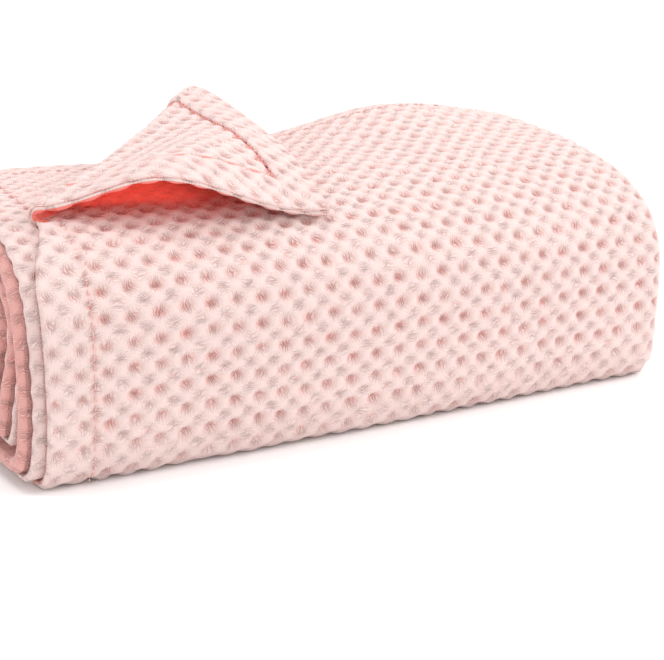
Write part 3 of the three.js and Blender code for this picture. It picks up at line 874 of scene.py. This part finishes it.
# --------------------------------------------------------------------------------------------------
# The corner's hems
# The cloth's edge turned over on the wrong side, 20 mm wide, and sewn down along its inner edge. The two
# hems lie over each other at the tip, and both follow the soft fold round.
# --------------------------------------------------------------------------------------------------
HEM_RISE = 1.5 * MM
SECOND_HEM_RISE = HEM_RISE + 0.9 * MM
HEM_HALF = 0.85 * MM
RAW_EDGE = 0.4 * MM


def corner_hem(name, node, along_the_side, rise):
    """A hem strip on the corner's upper face, from the tip round the soft fold, as a grid of place across
    the hem and place along it. Its inner edge is drawn in a little between the stitches."""
    columns, rows = 18, 150
    across_share = np.concatenate([
        [0.0, 0.012, 0.035], np.linspace(0.07, 0.93, columns - 6), [0.965, 0.988, 1.0],
    ])
    run = np.concatenate([np.linspace(0, 1, rows), np.ones(LOOP_ROWS + LEG_ROWS)])
    path = np.concatenate([
        np.zeros(rows), np.linspace(0, 1, LOOP_ROWS + 1)[1:], np.linspace(1, 2, LEG_ROWS + 1)[1:],
    ])
    run_grid, share_grid = np.meshgrid(run, across_share, indexing="ij")
    path_grid = np.broadcast_to(path[:, None], run_grid.shape)
    long_edge, short_edge = (CORNER_SIDE, CORNER_END) if along_the_side else (CORNER_END, CORNER_SIDE)
    width = HEM + 0.45 * MM * np.cos(2 * np.pi * run_grid * long_edge / STITCH_PITCH)
    edge = RAW_EDGE + (width - RAW_EDGE) * share_grid
    onward = mix(RAW_EDGE, long_edge * (1 - edge / short_edge), run_grid)
    side, end = (onward, edge) if along_the_side else (edge, onward)
    middle = corner_sheet(side, end, path_grid)
    row_steps = np.linalg.norm(np.diff(middle, axis=0, prepend=middle[:1]), axis=-1)
    past = np.cumsum(row_steps * (path_grid > 0), axis=0)
    across, along = end + past * FOLD_NORMAL[0], side + past * FOLD_NORMAL[1]
    height, painted_shade, cells = weave(across + 3 * MM, along + 3 * MM, 1.0)
    normals = grid_normals(middle) * (1 if along_the_side else -1)
    side_gap = np.minimum(edge - RAW_EDGE, width - edge)
    edge_gap = np.minimum(side_gap, np.maximum(onward - RAW_EDGE, 0))
    thin = rounding(edge_gap, HEM_HALF)
    settle = 1 - 0.5 * smooth((edge - HEM + 2.2 * MM) / (2.2 * MM))
    raised = middle + (rise * settle)[..., None] * normals
    # Painted shadow along the hem's inner edge on its upper face, and painted shade over its whole under face
    shade = 0.35 * smooth((edge - HEM + 1.0 * MM) / (1.0 * MM))
    piece = thick_sheet(
        name, raised, thin * (HEM_HALF + 0.8 * height), thin * HEM_HALF, cells,
        [np.clip(painted_shade + shade, 0, 1), np.clip(painted_shade + 0.3, 0, 1)], HEM_CLOTH_SHADED,
        wrong_way=not along_the_side,
    )
    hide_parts(node)
    bend_with_corner(piece)


corner_hem("turned_corner_side_hem", "corner_side_hem", True, HEM_RISE)
corner_hem("turned_corner_end_hem", "corner_end_hem", False, SECOND_HEM_RISE)

# --------------------------------------------------------------------------------------------------
# The roll's hems
# The throw's edges, turned under 20 mm and lying in the thickness that the cloth leaves for them: along the
# left edge of the two outer quarters, and across all four at the strip's outer and inner ends.
# --------------------------------------------------------------------------------------------------
HEM_INSET = 0.5 * MM


def hem_strip(names, x_from, x_to, lengths, layer_lift, columns):
    """A strip of hem between two places across the roll, along the given lengths, under one layer."""
    name, node = names
    top, bottom = layer_lift - SHEET + HEM_THICKNESS, layer_lift - SHEET
    outline = outline_of(
        len(lengths), line(x_from, x_to, top, columns, 1), line(x_to, x_from, bottom, columns, -1),
    )
    strip = wound_cloth(name, outline, lengths, HEM_CLOTH_SHADED, ends=(False, False))
    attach(strip, "roll")
    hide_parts(node)


side_lengths = np.linspace(FOLD_AT_SIDE[1] + 6 * MM, STRIP_LENGTH - HEM - MM, 300)
side_from = outer_left(side_lengths) + HEM_INSET
hem_strip(
    ("outer_side_hem_strip", "outer_side_hem"), side_from, side_from + HEM - HEM_INSET, side_lengths,
    0.0, 5,
)
side_lengths = np.linspace(HEM + MM, STRIP_LENGTH - HEM - MM, 300)
hem_strip(
    ("second_side_hem_strip", "second_side_hem"), SECOND_LEFT + HEM_INSET, SECOND_LEFT + HEM, side_lengths,
    second_lift, 5,
)
LAYERS = {
    "outer_quarter": (0.0, OUTER_LEFT, outer_bend_x),
    "second_quarter": (second_lift, SECOND_LEFT, inner_bend_x),
    "third_quarter": (third, bend_x, INNER_RIGHT),
    "innermost_quarter": (innermost, bend_x, INNER_RIGHT),
}
# On top of the roll a hem lies on the next layer in; at the inner end, below the core, on its own layer
hem_ends = {
    "outer": np.linspace(HEM_INSET, HEM, 7),
    "inner": np.linspace(STRIP_LENGTH - HEM, STRIP_LENGTH - HEM_INSET, 7),
}
for layer, (layer_lift, layer_left, layer_right) in LAYERS.items():
    for end_name, end_lengths in hem_ends.items():
        left = layer_left + HEM_INSET
        if layer == "outer_quarter" and end_name == "outer":
            left = outer_left(end_lengths) + 3 * MM
        node = f"{layer}_{end_name}_end_hem"
        hem_strip(
            (f"{node}_strip", node), left, np.full_like(end_lengths, layer_right), end_lengths, layer_lift,
            60,
        )

# --------------------------------------------------------------------------------------------------
# The stitching
# Rows of short arched stitches that hold the hems down, one every 4.4 mm, each a bit of thread that dips
# into the cloth at both of its needle holes.
# --------------------------------------------------------------------------------------------------
STITCH_LENGTH, STITCH_ARCH, THREAD_RADIUS = 2.9 * MM, 0.22 * MM, 0.30 * MM
STITCH_RINGS, THREAD_SIDES = 6, 6


def stitch_row(name, node, runs, surface, raised=0.0):
    """One mesh of stitches centred on the given runs. surface turns run, across and lift into points; each
    stitch is a thread whose arch follows 1 - 2.2 t^2 and that narrows at its two ends."""
    t = np.linspace(-1, 1, STITCH_RINGS)[None, :, None]
    turn = np.linspace(0, 2 * np.pi, THREAD_SIDES, endpoint=False)[None, None, :]
    radius = THREAD_RADIUS * np.sqrt(1 - 0.8 * t * t)
    run = runs[:, None, None] + t * STITCH_LENGTH / 2 + 0 * turn
    across = radius * np.cos(turn) + 0 * run
    lift = raised + STITCH_ARCH * (1 - 2.2 * t * t) + radius * np.sin(turn) + 0 * run
    points = surface(run, across, lift)
    points[..., 2] = np.maximum(points[..., 2], floor_z)
    index = np.arange(run.size).reshape(run.shape)
    beside = np.roll(index, -1, axis=2)
    quads = np.stack([index[:, :-1], beside[:, :-1], beside[:, 1:], index[:, 1:]], -1).reshape(-1, 4)
    caps = np.concatenate([index[:, 0, ::-1], index[:, -1]]).tolist()
    piece = new_object(name, points.reshape(-1, 3), quads.tolist() + caps, THREAD)
    cells = np.stack([across, run], -1) / CELL
    dress(piece, cells, np.full(run.shape, 0.25), np.concatenate([quads.ravel(), np.ravel(caps)]))
    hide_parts(node)
    return piece


def stitch_places(first, last):
    return np.arange(first + STITCH_PITCH / 2, last, STITCH_PITCH)


def side_row(layer_left, layer_lift):
    """Where a side hem's stitches lie: on a layer's face, one hem's width in from its left edge."""
    def surface(run, across, lift):
        return cloth_at(layer_left(run) + HEM + across, run, layer_lift + lift)
    return surface


side_rows = (
    ("outer", side_row(outer_left, 0.0), FOLD_AT_SIDE[1] + 8 * MM),
    ("second", side_row(lambda run: SECOND_LEFT, second_lift), HEM),
)
for name, surface, first_run in side_rows:
    side_stitches = stitch_row(
        f"{name}_side_stitches",
        f"{name}_side_stitching",
        stitch_places(first_run, STRIP_LENGTH - HEM),
        surface,
    )
    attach(side_stitches, "roll")

for layer, (layer_lift, layer_left, layer_right) in LAYERS.items():
    for end_name, row_length in (("outer", HEM), ("inner", STRIP_LENGTH - HEM)):
        first_x = layer_left + HEM
        if layer == "outer_quarter" and end_name == "outer":
            first_x = float(outer_left(HEM)) + 5 * MM
        row = stitch_row(
            f"{layer}_{end_name}_end_stitches",
            f"{layer}_{end_name}_end_stitching",
            stitch_places(first_x, layer_right - 3 * MM),
            lambda run, across, lift: cloth_at(run, row_length + across, layer_lift + lift),
        )
        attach(row, "roll")

CORNER_ROW = HEM - 1.6 * MM


def corner_row(along_the_side):
    """Where a corner hem's stitches lie: on the hem's upper face, near its inner edge, from the tip to
    the fold. Gives that surface and the length of the row."""
    long_edge, short_edge = (CORNER_SIDE, CORNER_END) if along_the_side else (CORNER_END, CORNER_SIDE)

    def middle(run, across):
        edge = CORNER_ROW + across
        side, end = (run, edge) if along_the_side else (edge, run)
        return corner_middle(side, end)

    def surface(run, across, lift):
        step = 0.5 * MM
        points = middle(run, across)
        onward, sideways = middle(run + step, across) - points, middle(run, across + step) - points
        normals = unit(np.cross(onward, sideways))
        return points + np.sign(normals[..., 2:]) * lift[..., None] * normals

    return surface, long_edge * (1 - CORNER_ROW / short_edge)


for name, along_the_side, rise in (("side", True, HEM_RISE), ("end", False, SECOND_HEM_RISE)):
    surface, row_end = corner_row(along_the_side)
    corner_stitches = stitch_row(
        f"turned_corner_{name}_stitches",
        f"corner_{name}_stitching",
        stitch_places(6 * MM, row_end - 3 * MM),
        surface,
        raised=0.6 * rise + HEM_HALF,
    )
    bend_with_corner(corner_stitches)
